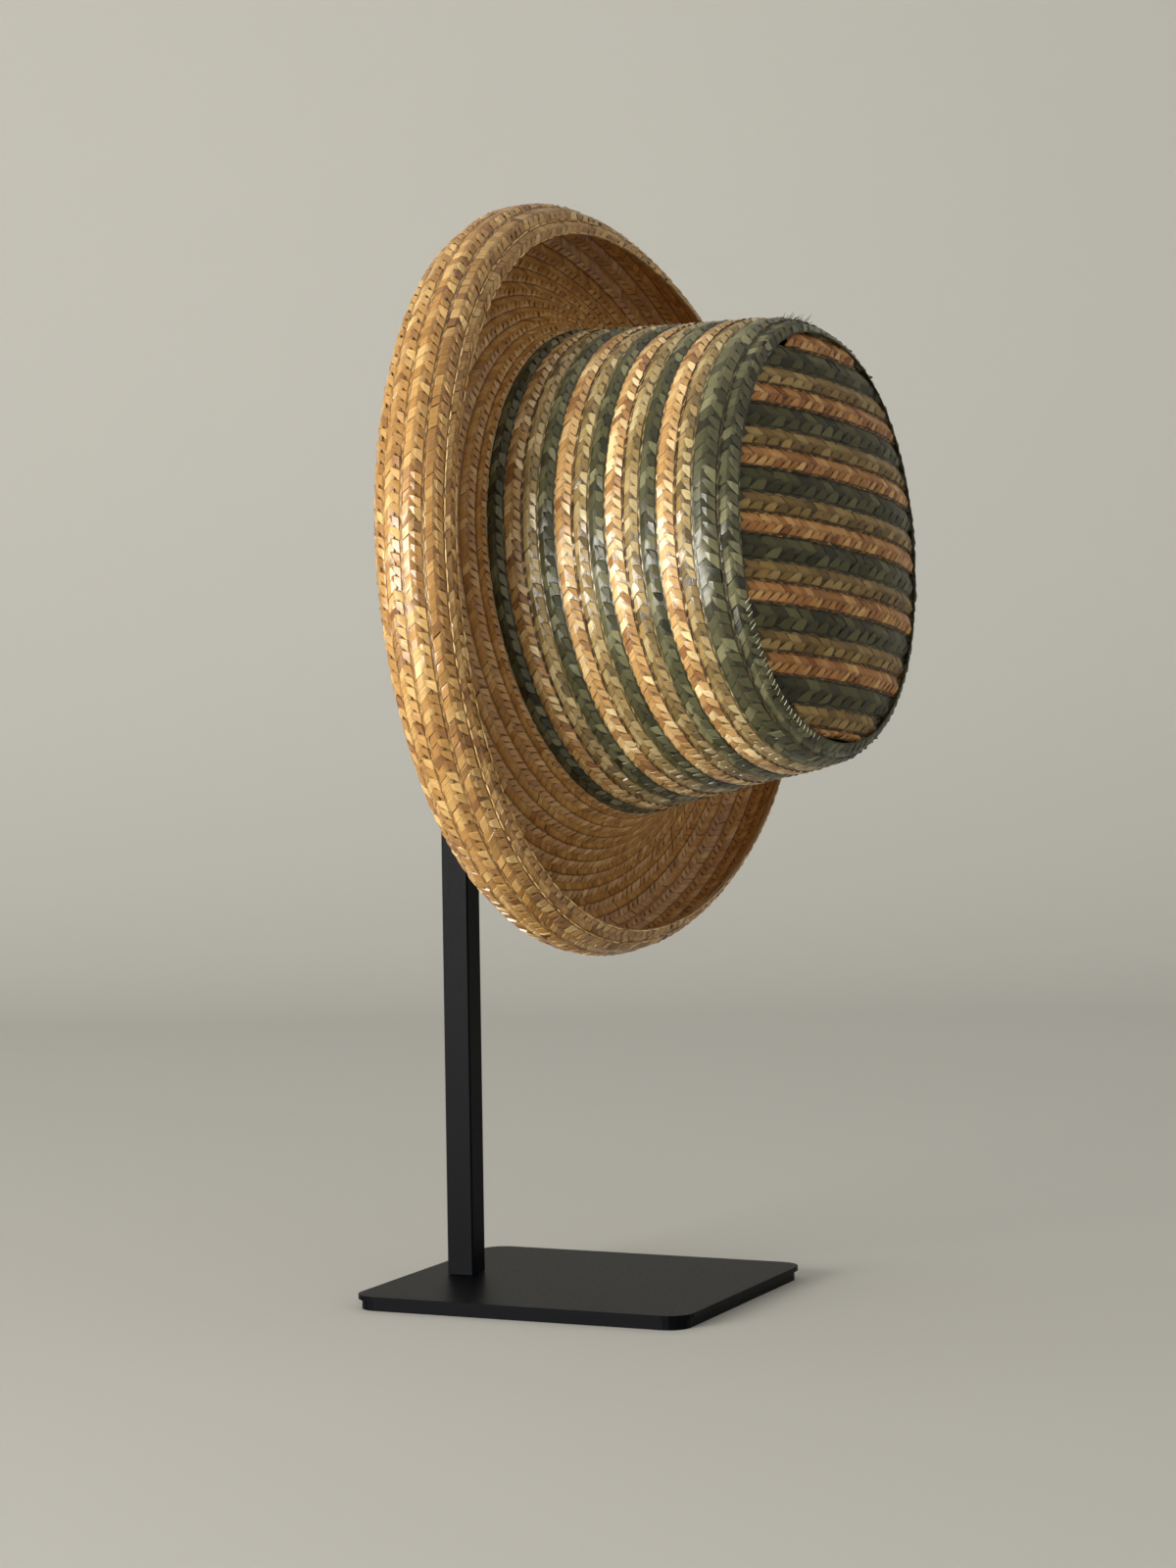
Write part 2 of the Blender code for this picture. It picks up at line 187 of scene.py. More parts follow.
# A row for each crease along a straw from the plait's edge inwards, and one for each across it
ALONG_STRAW = (
    {"place": 0.00, "height": -0.40, "width": 0.55},
    {"place": 0.12, "height": 0.60, "width": 1.00},
    {"place": 0.55, "height": 1.00, "width": 1.00},
    {"place": 1.00, "height": 0.25, "width": 1.00},
)
ACROSS_STRAW = (
    {"place": 0.00, "height": -0.40},
    {"place": 0.10, "height": 0.85},
    {"place": 0.50, "height": 1.00},
    {"place": 0.90, "height": 0.85},
    {"place": 1.00, "height": -0.40},
)

# Which of those creases a straw keeps
ALL_ALONG = (0, 1, 2, 3)
LOOP_ALONG = (0, 2, 3)
FINE_ACROSS = (0, 1, 2, 3, 4)
COARSE_ACROSS = (0, 1, 3, 4)
LOOP_ACROSS = (0, 2, 4)

# The ribbon under the straws: places across one face, its depth, and its sections lengthwise
RIBBON_ACROSS = (0.01, 0.25, 0.5, 0.75, 0.99)
RIBBON_DEPTH = 0.0002
BRIM_RIBBON_DEPTH = 0.00068
RIBBON_SECTIONS = 110
BRIM_RIBBON_SECTIONS = 130
TIP_RIBBON_SECTIONS = 30

# Sewing thread: a stitch's thickness along it, its arch, and how much stitches differ
THREAD_RADIUS = 0.00032
FINE_THREAD_RADIUS = 0.00018
STITCH_PROFILE = (0.25, 0.9, 1.0, 1.0, 0.9, 0.25)
STITCH_ARCH = 0.0003
STITCH_SINK = 0.0002
STITCH_START_SPREAD = 0.2
STITCH_LENGTH_SPREAD = 0.25
STITCH_LENGTH_LIMIT = 2.0
STITCH_PLACE_SPREAD = 0.01
BINDING_SEAM_START = 0.52
BINDING_SEAM_PART = 0.15

# A row for each seam: its place across the row, how far out it lies, its stitches and the gaps
# between them, how far a stitch goes across the row, the thread's radius, and the side it is on
SEAMS = {
    "crown": {"across": 1.0, "out": 0.0, "dash": 0.0042, "gap": 0.0008, "wave": 0.06,
              "radius": THREAD_RADIUS, "side": 1.0},
    "collar": {"across": 0.06, "out": 0.0002, "dash": 0.0036, "gap": 0.0016, "wave": 0.0,
               "radius": FINE_THREAD_RADIUS, "side": 1.0},
    "binding": {"across": 0.88, "out": 0.0005, "dash": 0.0018, "gap": 0.0008, "wave": 0.30,
                "radius": FINE_THREAD_RADIUS, "side": 1.0},
    "tip": {"across": 1.0, "out": 0.0, "dash": 0.0040, "gap": 0.0010, "wave": 0.0,
            "radius": THREAD_RADIUS, "side": 1.0},
    "edge_row": {"across": 1.0, "out": -STRAW_WALL, "dash": 0.0048, "gap": 0.0008, "wave": 0.0,
                 "radius": THREAD_RADIUS, "side": -1.0},
    "free_edge": {"across": 0.06, "out": -STRAW_WALL, "dash": 0.0060, "gap": 0.0010, "wave": 0.0,
                  "radius": THREAD_RADIUS, "side": -1.0},
}

# The loose straw ends at the crown's upper edge
LOOSE_ENDS = 34
LOOSE_ANGLE = -0.30
LOOSE_ANGLE_SPREAD = 0.11
LOOSE_SHARE = 0.935
LOOSE_SHARE_RANGE = 0.03
LOOSE_LENGTH = 0.0016
LOOSE_LENGTH_RANGE = 0.0022
LOOSE_FOOT = 0.0002
LOOSE_PROBE = 0.0010
LOOSE_TURN = 0.01
LOOSE_OUTWARDS = 0.30
LOOSE_ROUND = 0.8
LOOSE_LEAN = 0.2
LOOSE_CURL = 0.35
LOOSE_RADIUS = 0.00016
LOOSE_PROFILE = (1.0, 1.0, 0.9, 0.8, 0.5)
LOOSE_SIDES = 4

# A strand's sides, and how nearly upright it may be before its sides are turned another way
STRAND_SIDES = 6
UPRIGHT_LIMIT = 0.8

# Where a strand, a straw and a ribbon read their streaks
STRAND_TEXTURE_LENGTH = 0.004
STRAND_TEXTURE_WIDTH = 0.001
STRAW_TEXTURE_STRETCH = 1.3
STRAW_TEXTURE_SEEDS = 5.0
RIBBON_TEXTURE_WIDTH = 0.008
MIDDLE_TONE = 0.5

# A row for each dyed straw or thread: its darkest, middle and lightest tones, its gloss, and how dark
# the painted shade in its hollows is
STRAWS = {
    # These two rows are one brim straw in two brightnesses: the trough's copy is lighter, painted light that
    # lifts the shade inside the trough
    "brim_tan": {"name": "straw_brim", "dark": (0.22, 0.092, 0.022), "middle": (0.46, 0.24, 0.066),
                 "light": (0.74, 0.49, 0.19), "roughness": 0.27, "specular": 0.7, "hollow": 0.42},
    "brim_trough_painted_light": {"name": "straw_trough_painted_light", "dark": (0.28, 0.112, 0.026), "middle": (0.59, 0.295, 0.080),
                    "light": (0.86, 0.56, 0.21), "roughness": 0.27, "specular": 0.7, "hollow": 0.42},
    "tan": {"name": "straw_tan", "dark": (0.28, 0.125, 0.040), "middle": (0.57, 0.335, 0.120),
            "light": (0.92, 0.70, 0.37), "roughness": 0.27, "specular": 0.7, "hollow": 0.36},
    # The tip's tan, olive and green are darker copies of the crown's straws: painted shade for the tip, which
    # faces away from the light
    "tip_tan": {"name": "straw_tip_tan_painted_shade", "dark": (0.24, 0.08, 0.018), "middle": (0.47, 0.21, 0.055),
                "light": (0.72, 0.42, 0.15), "roughness": 0.34, "specular": 0.4, "hollow": 0.30},
    "tip_olive": {"name": "straw_tip_olive_painted_shade", "dark": (0.11, 0.066, 0.018), "middle": (0.25, 0.150, 0.040),
                  "light": (0.42, 0.29, 0.105), "roughness": 0.34, "specular": 0.3, "hollow": 0.30},
    "tip_green": {"name": "straw_tip_green_painted_shade", "dark": (0.022, 0.020, 0.006), "middle": (0.056, 0.051, 0.015),
                  "light": (0.13, 0.120, 0.046), "roughness": 0.34, "specular": 0.3, "hollow": 0.30},
    "olive": {"name": "straw_olive", "dark": (0.13, 0.085, 0.028), "middle": (0.33, 0.220, 0.076),
              "light": (0.58, 0.46, 0.23), "roughness": 0.28, "specular": 0.8, "hollow": 0.30},
    "green": {"name": "straw_green", "dark": (0.022, 0.021, 0.008), "middle": (0.076, 0.074, 0.030),
              "light": (0.22, 0.21, 0.105), "roughness": 0.31, "specular": 0.55, "hollow": 0.30},
    "pale_thread": {"name": "pale_thread", "dark": (0.22, 0.21, 0.13), "middle": (0.38, 0.36, 0.24),
                    "light": (0.55, 0.52, 0.38), "roughness": 0.40, "specular": 0.5, "hollow": 0.30},
    "light_thread": {"name": "light_thread", "dark": (0.55, 0.32, 0.10), "middle": (0.75, 0.50, 0.20),
                     "light": (0.90, 0.68, 0.36), "roughness": 0.40, "specular": 0.5, "hollow": 0.30},
    "dark_thread": {"name": "dark_thread", "dark": (0.02, 0.012, 0.006), "middle": (0.04, 0.022, 0.010),
                    "light": (0.10, 0.06, 0.03), "roughness": 0.45, "specular": 0.5, "hollow": 0.30},
}

# The fine streaks along a straw
STREAK_SCALE = (150.0, 3000.0, 1.0)
STREAK_DETAIL = 3.0
STREAK_NOISE = (0.25, 0.75)
STREAK_SHADES = (0.72, 1.18)
STREAK_ROUGHNESS = (-0.08, 0.10)
STREAK_BUMP = 0.35
STREAK_BUMP_DEPTH = 0.0002

# The stand's satin black paint
PAINT_COLOUR = (0.0014, 0.0019, 0.0034)
PAINT_SPECULAR = 0.05
PAINT_GRAIN = 900.0
PAINT_DETAIL = 3.0
PAINT_ROUGHNESS = (0.34, 0.48)
PAINT_BUMP = 0.08
PAINT_BUMP_DEPTH = 0.0001

# The floor, which sweeps up into the backdrop
FLOOR_COLOUR = (0.58, 0.575, 0.54)
FLOOR_ROUGHNESS = 0.8
FLOOR_FRONT = -9.0
FLOOR_BACK = 1.2
FLOOR_HALF_WIDTH = 5.0
SWEEP_RADIUS = 0.8
SWEEP_STEPS = 13
BACKDROP_TOP = 5.0

# The light of the room, and a row for each lamp, placed as the camera faces
WORLD_COLOUR = (1.0, 0.975, 0.92)
WORLD_STRENGTH = 0.50
LAMP_AIM = (0.0, 0.0, 0.28)
LAMPS = (
    {"name": "key", "place": (-1.7, -1.45, 0.16), "size": 1.3, "power": 112.0, "colour": (1.0, 0.97, 0.90)},
    {"name": "top", "place": (-0.3, 0.2, 2.4), "size": 1.8, "power": 2.0, "colour": (1.0, 0.98, 0.95)},
    {"name": "fill", "place": (1.6, -1.6, 0.9), "size": 1.6, "power": 2.0, "colour": (1.0, 0.98, 0.95)},
)

# The camera, with its place measured from the plate's top in its own directions
CAMERA_LENS = 80.1
CAMERA_SENSOR = 36.0
CAMERA_AZIMUTH = 0.41818
CAMERA_PITCH = 0.02865
CAMERA_ROLL = 0.01464
CAMERA_SIDE = -0.00249
CAMERA_DROP = 0.20687
CAMERA_DISTANCE = 1.45826


def smooth_column(table, column, share):
    """Read a column of the crown's table at shares of the rise, on a smooth curve through it."""
    share = np.clip(share, 0.0, 1.0)
    rises = np.array([row["rise"] for row in table])
    values = np.array([row[column] for row in table])
    last = len(table) - 2
    span = np.clip(np.searchsorted(rises, share, side="right") - 1, 0, last)
    before = np.maximum(span - 1, 0)
    after = np.minimum(span + 2, last + 1)
    width = rises[span + 1] - rises[span]
    step = (share - rises[span]) / width
    slope_low = (values[span + 1] - values[before]) / (rises[span + 1] - rises[before]) * width
    slope_high = (values[after] - values[span]) / (rises[after] - rises[span]) * width
    turn = values[span + 1] - values[span]
    cubic = slope_low + slope_high - 2.0 * turn
    square = 3.0 * turn - 2.0 * slope_low - slope_high
    return values[span] + step * (slope_low + step * (square + step * cubic))


def oval(angle, long_radius, short_radius, squareness):
    """Return X and Y of points on an oval that is a little squarer or leaner than an ellipse."""
    power = 2.0 / squareness
    x = long_radius * np.sign(np.cos(angle)) * np.abs(np.cos(angle)) ** power
    y = -short_radius * np.sign(np.sin(angle)) * np.abs(np.sin(angle)) ** power
    return x, y


def crown_radii(share):
    """Return the crown's long and short radius at shares of its rise."""
    long_radius = CROWN_LONG_RADIUS * smooth_column(CROWN_SECTIONS, "long", share)
    short_radius = CROWN_SHORT_RADIUS * smooth_column(CROWN_SECTIONS, "short", share)
    return long_radius, short_radius


def crown_place(share, angle, out):
    """Return points of the crown's side, out from its outer face."""
    low = np.clip(share - SLOPE_STEP, 0.0, 1.0)
    high = np.clip(share + SLOPE_STEP, 0.0, 1.0)
    run = (sum(crown_radii(low)) - sum(crown_radii(high))) / 2.0
    climb = CROWN_RISE * (high - low)
    length = np.hypot(run, climb)
    long_radius, short_radius = crown_radii(share)
    outwards = out * climb / length
    squareness = COLLAR_SQUARENESS + (TIP_SQUARENESS - COLLAR_SQUARENESS) * share
    x, y = oval(angle, long_radius + outwards, short_radius + outwards, squareness)
    height = COLLAR_TOP + CROWN_RISE * share + out * run / length
    height = height + CROWN_TIP_SLOPE * share * np.cos(angle)
    return np.stack([x + CROWN_LEAN * share, y, height], axis=-1)


def crown_shares(lengths):
    """Turn shares of the length up the crown's side into shares of its rise."""
    shares = np.linspace(0.0, 1.0, LENGTH_STEPS)
    radii = sum(crown_radii(shares)) / 2.0
    steps = np.hypot(np.diff(radii), CROWN_RISE * np.diff(shares))
    travelled = np.concatenate([[0.0], np.cumsum(steps)])
    return np.interp(np.array(lengths) * travelled[-1], travelled, shares), travelled[-1]


def run_along(ring):
    """Return how far round a ring of points each of them lies."""
    return np.concatenate([[0.0], np.cumsum(np.linalg.norm(np.diff(ring, axis=0), axis=1))])


def crown_row_surface(low, high):
    """Return the surface of one row round the crown, and its length."""
    angles = np.linspace(0.0, 2.0 * math.pi, RING_STEPS)
    run = run_along(crown_place(np.full(angles.shape, (low + high) / 2.0), angles, 0.0))

    def surface(along, across, out):
        angle = np.interp(np.mod(along, run[-1]), run, angles)
        return crown_place(np.clip(low + (high - low) * across, 0.0, 1.0), angle, out)

    return surface, run[-1]


def brim_centre(along, angle):
    """Return points on the middle of the brim's wall, from the collar at 0 to the free edge at 1."""
    roll_height = ROLL_HEIGHT - ROLL_DIP * np.cos(2.0 * angle)
    roll_height = roll_height + ROLL_LEAN * np.cos(angle) + ROLL_SIDE_LEAN * np.sin(angle)
    roll_end = ROLL_END - ROLL_END_NEAR * np.sin(angle) + ROLL_END_UPPER * np.cos(angle)
    curl = np.clip((along - FLOOR_PART) / (1.0 - FLOOR_PART), 0.0, 1.0)
    turn = ROLL_START + (roll_end - ROLL_START) * curl
    reach = ROLL_RADIUS * np.cos(turn)
    roll_x, roll_y = oval(angle, ROLL_LONG_RADIUS + reach, ROLL_SHORT_RADIUS + reach, ROLL_SQUARENESS)
    roll_z = roll_height + ROLL_RADIUS * np.sin(turn)
    step = np.clip(along / FLOOR_PART, 0.0, 1.0)
    low = roll_height - ROLL_RADIUS
    collar_long = CROWN_LONG_RADIUS - STRAW_WALL / 2.0
    collar_short = CROWN_SHORT_RADIUS - STRAW_WALL / 2.0
    rest = 1.0 - step
    weights = (rest ** 3, 3.0 * step * rest ** 2, 3.0 * step ** 2 * rest, step ** 3)

    def curve(controls):
        return sum(weight * control for weight, control in zip(weights, controls))

    longs = curve((collar_long, collar_long + COLLAR_FLARE, ROLL_LONG_RADIUS - FLOOR_PULL, ROLL_LONG_RADIUS))
    shorts = curve((collar_short, collar_short + COLLAR_FLARE, ROLL_SHORT_RADIUS - FLOOR_PULL,
                    ROLL_SHORT_RADIUS))
    heights = curve((COLLAR_TOP, COLLAR_TOP - COLLAR_DROP, low, low))
    squareness = COLLAR_SQUARENESS + (ROLL_SQUARENESS - COLLAR_SQUARENESS) * step
    floor_x, floor_y = oval(angle, longs, shorts, squareness)
    on_roll = along > FLOOR_PART
    return np.stack([np.where(on_roll, roll_x, floor_x), np.where(on_roll, roll_y, floor_y),
                     np.where(on_roll, roll_z, heights)], axis=-1)


# The brim on a fine grid, evenly spaced from the free edge to the collar at every angle
grid_angle = np.linspace(0.0, 2.0 * math.pi, GRID_ANGLES + 1)
grid_along = np.linspace(1.0, 0.0, GRID_FINENESS * GRID_STEPS + 1)
fine_grid = brim_centre(grid_along[None, :], grid_angle[:, None])
fine_run = np.cumsum(np.linalg.norm(np.diff(fine_grid, axis=1), axis=2), axis=1)
fine_run = np.concatenate([np.zeros((GRID_ANGLES + 1, 1)), fine_run], axis=1)
BRIM_LENGTH = float(fine_run[:, -1].mean())
even = np.linspace(0.0, 1.0, GRID_STEPS + 1)
even_along = np.array([np.interp(even * run[-1], run, grid_along) for run in fine_run])
brim_grid = brim_centre(even_along, grid_angle[:, None])
round_line = np.gradient(brim_grid, axis=0)
round_line[0] = round_line[-1] = brim_grid[1] - brim_grid[-2]
down_line = np.gradient(brim_grid, axis=1)
brim_normals = np.cross(down_line, round_line)
brim_normals /= np.linalg.norm(brim_normals, axis=2, keepdims=True)


def sample_brim(grid, share, angle):
    """Read a grid of the brim at shares of the way from the free edge and at angles."""
    round_step = np.mod(angle, 2.0 * math.pi) / (2.0 * math.pi) * GRID_ANGLES
    down_step = np.clip(share, 0.0, 1.0) * GRID_STEPS
    round_cell = np.minimum(round_step.astype(int), GRID_ANGLES - 1)
    down_cell = np.minimum(down_step.astype(int), GRID_STEPS - 1)
    round_part = (round_step - round_cell)[..., None]
    down_part = (down_step - down_cell)[..., None]
    sides = []
    for cell in (round_cell, round_cell + 1):
        sides.append(grid[cell, down_cell] * (1.0 - down_part) + grid[cell, down_cell + 1] * down_part)
    return sides[0] * (1.0 - round_part) + sides[1] * round_part


def brim_row_surface(low, high):
    """Return the surface of one row of the brim, and its length."""
    middle = np.full(grid_angle.shape, (low + high) / 2.0)
    ring = sample_brim(brim_grid, middle[:-1], grid_angle[:-1])
    run = run_along(np.concatenate([ring, ring[:1]]))

    def surface(along, across, out):
        angle = np.interp(np.mod(along, run[-1]), run, grid_angle)
        share = np.broadcast_to(low + (high - low) * across, angle.shape)
        normal = sample_brim(brim_normals, share, angle)
        return sample_brim(brim_grid, share, angle) + normal * (out + STRAW_WALL / 2.0)[..., None]

    return surface, run[-1]


def tip_edge():
    """Return the long and short radius of the tip inside its binding."""
    long_radius, short_radius = crown_radii(np.array(1.0))
    return float(long_radius) - TIP_INSET, float(short_radius) - TIP_INSET


TIP_LONG, TIP_SHORT = tip_edge()


def edge_share(x, y):
    """Return how far from the tip's middle to its edge a point lies: 1 is on the edge."""
    total = np.abs(x / TIP_LONG) ** TIP_SQUARENESS + np.abs(y / TIP_SHORT) ** TIP_SQUARENESS
    return total ** (1.0 / TIP_SQUARENESS)


def tip_flat(place, side):
    """Return X and Y of a point from its places across and along the tip's plaits."""
    x = place * math.cos(TIP_TURN) - side * math.sin(TIP_TURN)
    y = -place * math.sin(TIP_TURN) - side * math.cos(TIP_TURN)
    return x, y


def plait_end(place, way):
    """Return how far along a tip plait its end lies, one way or the other."""
    near = 0.0
    far = 2.0 * CROWN_SHORT_RADIUS
    for _ in range(HALVINGS):
        middle = (near + far) / 2.0
        if edge_share(*tip_flat(place, way * middle)) < 1.0:
            near = middle
        else:
            far = middle
    return way * near


def tip_surface(start, stop):
    """Return the surface of one straight plait of the tip."""

    def surface(along, across, out):
        place = start + (stop - start) * across
        x, y = tip_flat(place, along)
        dome = TIP_DOME_RISE * (1.0 - np.minimum(1.0, edge_share(x, y)) ** TIP_DOME_POWER)
        height = COLLAR_TOP + CROWN_RISE - TIP_RECESS + dome + CROWN_TIP_SLOPE * x / TIP_LONG + out
        return np.stack([x + CROWN_LEAN, y, height], axis=-1)

    return surface


def new_pile():
    """Start an empty pile of mesh parts."""
    return {"points": [], "faces": [], "straw": [], "tone": [], "hollow": [], "count": 0}


def add_grid(pile, points, straw, tone, hollow, wrap=False):
    """Add many grids of points to a pile; the points come by grid, row, column and axis."""
    grids, rows, columns = points.shape[:3]
    index = np.arange(grids * rows * columns).reshape(grids, rows, columns) + pile["count"]
    if wrap:
        index = np.concatenate([index, index[:, :1]], axis=1)
    quads = np.stack([index[:, :-1, :-1], index[:, 1:, :-1], index[:, 1:, 1:], index[:, :-1, 1:]], axis=-1)
    pile["points"].append(points.reshape(-1, 3))
    pile["faces"].append(quads.reshape(-1, 4))
    pile["straw"].append(np.broadcast_to(straw, points.shape).reshape(-1, 3))
    pile["tone"].append(np.broadcast_to(tone, points.shape[:3]).reshape(-1))
    pile["hollow"].append(np.broadcast_to(hollow, points.shape[:3]).reshape(-1))
    pile["count"] += grids * rows * columns


def creases(table, column, kept):
    """Read a column of a table of creases, at the rows that are kept."""
    return np.array([table[row][column] for row in kept])


def differ(number, spread, limit=np.inf):
    """Draw a random difference for each straw, no further than a limit."""
    return spread * random.standard_normal((number, 1, 1)).clip(-limit, limit)


def edge_fall(across, hollow):
    """Return how far a plait's face falls away towards its two edges."""
    return hollow * (1.0 - np.sin(math.pi * across))


def add_straws(pile, surface, length, width, pitch, start=0.0, ring=True, inner=False, fine=True,
               relief=1.0, hollow=ROW_HOLLOW, spread=TONE_SPREAD, loops=True):
    """Weave one plait: slanting straws in columns over its surface, on the outer or inner side."""
    count = max(2, int(round(length / pitch)))
    step = length / count
    for column in COLUMNS:
        loop = column["slant"] == 0.0
        if loop and not loops:
            continue
        along_kept = LOOP_ALONG if loop else ALL_ALONG
        across_kept = LOOP_ACROSS if loop else FINE_ACROSS if fine else COARSE_ACROSS
        inwards = creases(ALONG_STRAW, "place", along_kept)[None, :, None]
        height_along = creases(ALONG_STRAW, "height", along_kept)[None, :, None]
        taper = creases(ALONG_STRAW, "width", along_kept)[None, :, None]
        taper = taper * (1.0 + (column["tip"] - 1.0) * inwards ** NARROWING_POWER)
        sideways = creases(ACROSS_STRAW, "place", across_kept)[None, None, :]
        height_across = creases(ACROSS_STRAW, "height", across_kept)[None, None, :]
        from_low = inwards
        if column["slant"] < 0:
            from_low = 1.0 - inwards[:, ::-1]
            inwards = 1.0 - from_low
            height_along = height_along[:, ::-1]
            taper = taper[:, ::-1]
        jitter = PLACE_SPREAD * random.standard_normal(count)
        centres = start + (np.arange(count) + column["shift"] + jitter) * step
        if not ring:
            margin = END_MARGIN * step
            centres = centres[(centres > start + margin) & (centres < start + length - margin)]
        number = len(centres)
        span = column["high"] - column["low"]
        widen = 1.0 + differ(number, WIDTH_SPREAD, WIDTH_LIMIT)
        across = column["low"] + span * from_low + differ(number, ACROSS_SPREAD)
        slant = SLANT * column["slant"] * (1.0 + differ(number, SLANT_SPREAD))
        along = centres[:, None, None] + slant * (from_low - 0.5) * span * width
        along = along + (sideways - 0.5) * step * STRAW_OVERLAP * widen * taper
        shingle = SHINGLE_TILT + differ(number, SHINGLE_SPREAD, TILT_LIMIT)
        ridge = RIDGE_TILT + differ(number, RIDGE_SPREAD, TILT_LIMIT)
        height = np.minimum(height_along, height_across)
        raised = height > RAISED_HEIGHT
        lean = 2.0 * shingle * (sideways - 0.5) + 2.0 * ridge * (inwards - 0.5) * abs(column["slant"])
        height = (height + np.where(raised, lean, 0.0)).clip(LEAST_HEIGHT, MOST_HEIGHT)
        height = height * column["lift"] * STRAW_LIFT * relief
        shape = (number, from_low.shape[1], sideways.shape[2])
        across = np.broadcast_to(across, shape)
        if inner:
            across = 1.0 - across
        fall = edge_fall(np.clip(across, EDGE_MARGIN, 1.0 - EDGE_MARGIN), hollow)
        if inner:
            out = -STRAW_WALL + STRAW_SINK + fall - height
        else:
            out = -fall - STRAW_SINK + height
        points = surface(np.broadcast_to(along, shape), across, np.broadcast_to(out, shape))
        seeds = STRAW_TEXTURE_SEEDS * random.random((number, 1, 1))
        straw = np.stack([np.broadcast_to(from_low * span * width * STRAW_TEXTURE_STRETCH, shape),
                          np.broadcast_to(sideways * step, shape),
                          np.broadcast_to(seeds, shape)], axis=-1)
        tone = np.clip(MIDDLE_TONE + differ(number, spread), 0.0, 1.0)
        # Painted shade: creases below the raised height, at a straw's edges and at the ends that dive under
        # its neighbours, are marked to be darkened
        add_grid(pile, points, straw, tone, np.broadcast_to(np.where(raised, 0.0, 1.0), shape))


def add_ribbon(pile, surface, length, start=0.0, ring=True, sections=RIBBON_SECTIONS,
               hollow=ROW_HOLLOW, depth=RIBBON_DEPTH):
    """Add the thin closed ribbon that the straws lie over, darkened all over with painted shade."""
    face = len(RIBBON_ACROSS)
    across = np.array(RIBBON_ACROSS + RIBBON_ACROSS[::-1] + RIBBON_ACROSS[:1])
    fall = edge_fall(across, hollow)
    out = np.where(np.arange(len(across)) < face, -fall - depth, -STRAW_WALL + fall + depth)
    out[-1] = out[0]
    steps = np.arange(sections + (0 if ring else 1)) / sections
    along = np.broadcast_to((start + length * steps)[None, :, None], (1, len(steps), len(across)))
    across = np.broadcast_to(across[None, None, :], along.shape)
    out = np.broadcast_to(out[None, None, :], along.shape)
    points = surface(along, across, out)
    straw = np.stack([along, across * RIBBON_TEXTURE_WIDTH, np.zeros(along.shape)], axis=-1)
    # Painted shade: the whole ribbon is marked to be darkened, a dark sheet where the gaps between the straws
    # lie in shade
    add_grid(pile, points, straw, MIDDLE_TONE, 1.0, wrap=ring)


def make_piece(name, pile, material, place):
    """Turn a pile into one smooth mesh with its attributes."""
    points = np.concatenate(pile["points"])
    faces = np.concatenate(pile["faces"])
    mesh = bpy.data.meshes.new(name)
    mesh.vertices.add(len(points))
    mesh.vertices.foreach_set("co", points.astype(np.float32).reshape(-1))
    mesh.loops.add(faces.size)
    mesh.loops.foreach_set("vertex_index", faces.astype(np.int32).reshape(-1))
    mesh.polygons.add(len(faces))
    mesh.polygons.foreach_set("loop_start", np.arange(0, faces.size, 4, dtype=np.int32))
    mesh.update(calc_edges=True)
    mesh.transform(place)
    straw = mesh.attributes.new("straw", "FLOAT_VECTOR", "POINT")
    straw.data.foreach_set("vector", np.concatenate(pile["straw"]).astype(np.float32).reshape(-1))
    # tone is each straw's own random tone; hollow marks where painted shade darkens the colour
    for key in ("tone", "hollow"):
        held = mesh.attributes.new(key, "FLOAT", "POINT")
        held.data.foreach_set("value", np.concatenate(pile[key]).astype(np.float32))
    mesh.validate()
    mesh.shade_smooth()
    mesh.set_sharp_from_angle(angle=STRAW_CREASE)
    mesh.materials.append(material)
    piece = bpy.data.objects.new(name, mesh)
    bpy.context.scene.collection.objects.link(piece)
    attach(piece, "root")
    return piece


def add_strands(pile, lines, radii, sides=STRAND_SIDES):
    """Add thin round strands: each line has its points in rows, and a radius for each point."""
    forward = np.gradient(lines, axis=1)
    forward /= np.linalg.norm(forward, axis=2, keepdims=True)
    upright = np.abs(forward[..., 2:]) >= UPRIGHT_LIMIT
    helper = np.where(upright, np.array([1.0, 0.0, 0.0]), np.array([0.0, 0.0, 1.0]))
    first = np.cross(forward, helper)
    first /= np.linalg.norm(first, axis=2, keepdims=True)
    second = np.cross(forward, first)
    turn_angles = np.linspace(0.0, 2.0 * math.pi, sides + 1)
    around = (np.cos(turn_angles)[None, None, :, None] * first[:, :, None, :]
              + np.sin(turn_angles)[None, None, :, None] * second[:, :, None, :])
    points = lines[:, :, None, :] + around * radii[:, :, None, None]
    seeds = random.random((len(lines), 1, 1))
    shape = points.shape[:3]
    lengthwise = np.linspace(0.0, STRAND_TEXTURE_LENGTH, shape[1])[None, :, None]
    sideways = np.linspace(0.0, STRAND_TEXTURE_WIDTH, shape[2])[None, None, :]
    straw = np.stack([np.broadcast_to(part, shape) for part in (lengthwise, sideways, seeds)], axis=-1)
    add_grid(pile, points, straw, np.broadcast_to(seeds, shape), 0.0)


